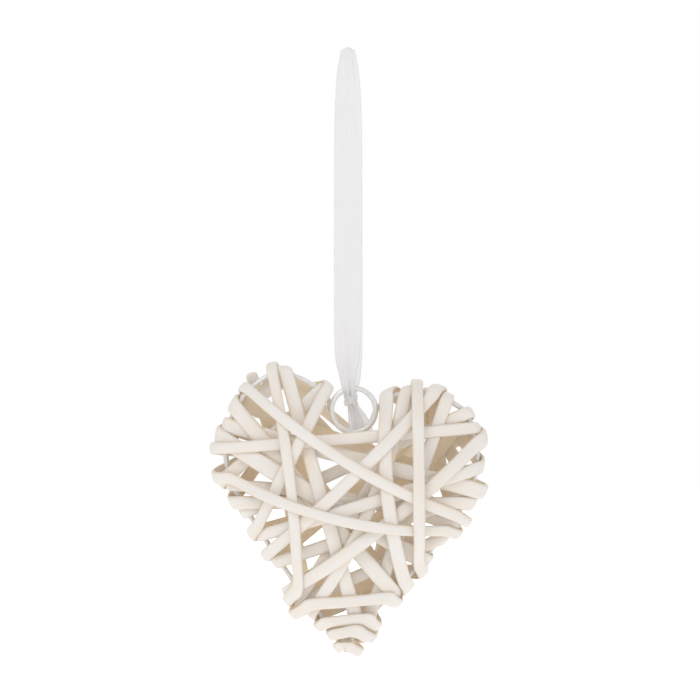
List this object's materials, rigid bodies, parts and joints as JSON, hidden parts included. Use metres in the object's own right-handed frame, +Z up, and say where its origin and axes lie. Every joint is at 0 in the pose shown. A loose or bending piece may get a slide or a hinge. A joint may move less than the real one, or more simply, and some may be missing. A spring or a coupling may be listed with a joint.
{
  "type": "wicker heart decoration",
  "caption": "Hanging heart of whitewashed split willow wound loosely round a wire frame, open in the middle, with a metal ring and a ribbon loop.",
  "frame": {"origin": "inner top of the ribbon loop, where a hook or nail holds it", "axes": "+Z up along the ribbon, X across the heart, -Y out of the front seen in the picture"},
  "size_m": [0.1007, 0.0392, 0.222],
  "materials": {
    "willow": "whitewashed, matt",
    "wire": "white coated wire, satin",
    "ring": "white metal, satin",
    "ribbon": "white satin"
  },
  "bodies": {
    "root": {"heart_wire": "wire", "ring": "ring", "ribbon": "ribbon", "withy_01": "willow", "withy_02": "willow", "withy_03": "willow", "withy_04": "willow", "withy_05": "willow", "withy_06": "willow", "withy_07": "willow", "withy_08": "willow", "withy_09": "willow", "withy_10": "willow", "withy_11": "willow", "withy_12": "willow", "withy_13": "willow", "withy_14": "willow", "withy_15": "willow"}
  },
  "joints": []
}
